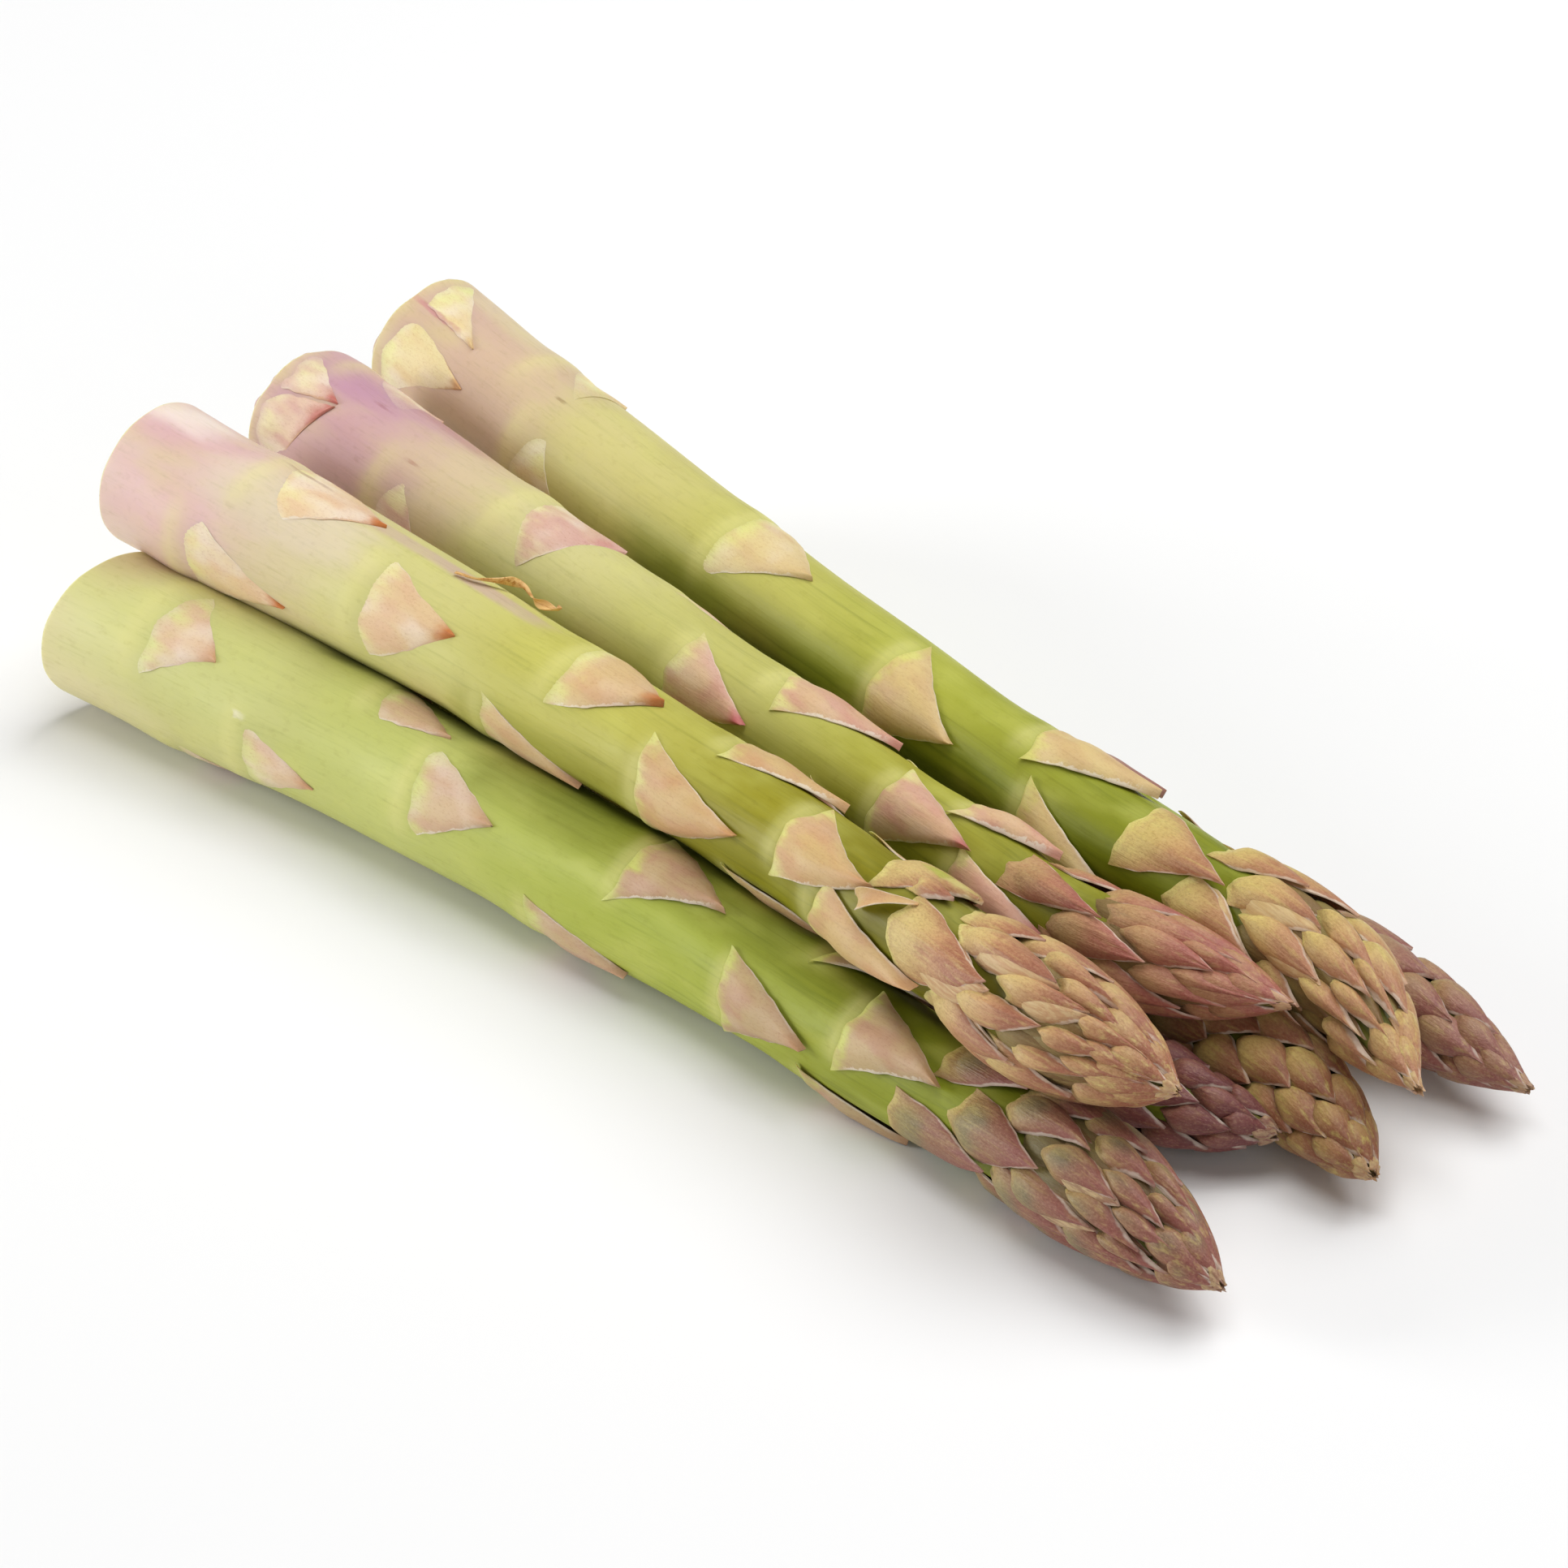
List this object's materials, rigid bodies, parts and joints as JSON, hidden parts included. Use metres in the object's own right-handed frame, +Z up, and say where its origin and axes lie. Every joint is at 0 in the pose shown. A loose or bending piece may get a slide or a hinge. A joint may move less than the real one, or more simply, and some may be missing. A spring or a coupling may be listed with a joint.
{
  "type": "bundle of asparagus",
  "caption": "Fresh green asparagus spears lying together in two layers, with cut ends level, scale leaves up their stems and tight purple-green tips.",
  "frame": {"origin": "middle of the bundle's footprint, on the surface it lies on", "axes": "+X along the spears from the cut ends to the tips, +Y across the bundle, +Z up"},
  "size_m": [0.1946, 0.0848, 0.0335],
  "materials": {
    "stalk": "smooth waxy plant skin, yellow-green with a pale pink cut end",
    "leaf_tan": "dry papery leaf, tan with a yellow-green foot and a white edge",
    "leaf_mauve": "dry papery leaf, pink-mauve with a yellow-green foot and a white edge",
    "tip_olive": "overlapping matt scales, olive with grey bloom and mauve edges",
    "tip_tan": "overlapping matt scales, salmon-tan over yellow-green",
    "tip_mauve": "overlapping matt scales, red-brown to mauve",
    "tip_purple": "overlapping matt scales, dark purple"
  },
  "bodies": {
    "root": {"spear_a_stem": "stalk", "spear_a_tip": "tip_olive", "spear_a_leaf_1": "leaf_tan", "spear_a_leaf_2": "leaf_tan", "spear_a_leaf_3": "leaf_tan", "spear_a_leaf_4": "leaf_tan", "spear_a_leaf_5": "leaf_tan", "spear_a_leaf_6": "leaf_tan", "spear_a_leaf_7": "leaf_tan", "spear_a_leaf_8": "leaf_tan", "spear_b_stem": "stalk", "spear_b_tip": "tip_tan", "spear_b_leaf_1": "leaf_tan", "spear_b_leaf_2": "leaf_tan", "spear_b_leaf_3": "leaf_tan", "spear_b_leaf_4": "leaf_tan", "spear_b_leaf_5": "leaf_tan", "spear_b_leaf_6": "leaf_tan", "spear_b_leaf_7": "leaf_tan", "spear_b_leaf_8": "leaf_tan", "spear_b_leaf_9": "leaf_tan", "spear_c_stem": "stalk", "spear_c_tip": "tip_mauve", "spear_c_leaf_1": "leaf_mauve", "spear_c_leaf_2": "leaf_mauve", "spear_c_leaf_3": "leaf_mauve", "spear_c_leaf_4": "leaf_mauve", "spear_c_leaf_5": "leaf_mauve", "spear_c_leaf_6": "leaf_mauve", "spear_c_leaf_7": "leaf_mauve", "spear_c_leaf_8": "leaf_mauve", "spear_d_stem": "stalk", "spear_d_tip": "tip_tan", "spear_d_leaf_1": "leaf_tan", "spear_d_leaf_2": "leaf_tan", "spear_d_leaf_3": "leaf_tan", "spear_d_leaf_4": "leaf_tan", "spear_d_leaf_5": "leaf_tan", "spear_d_leaf_6": "leaf_tan", "spear_d_leaf_7": "leaf_tan", "spear_e_stem": "stalk", "spear_e_tip": "tip_purple", "spear_e_leaf_1": "leaf_mauve", "spear_e_leaf_2": "leaf_mauve", "spear_e_leaf_3": "leaf_mauve", "spear_e_leaf_4": "leaf_mauve", "spear_f_stem": "stalk", "spear_f_tip": "tip_olive", "spear_f_leaf_1": "leaf_tan", "spear_f_leaf_2": "leaf_tan", "spear_f_leaf_3": "leaf_tan", "spear_f_leaf_4": "leaf_tan", "spear_g_stem": "stalk", "spear_g_tip": "tip_mauve", "spear_g_leaf_1": "leaf_mauve", "spear_g_leaf_2": "leaf_mauve", "spear_g_leaf_3": "leaf_mauve", "spear_g_leaf_4": "leaf_mauve", "spear_g_leaf_5": "leaf_mauve", "spear_g_leaf_6": "leaf_mauve"}
  },
  "joints": []
}
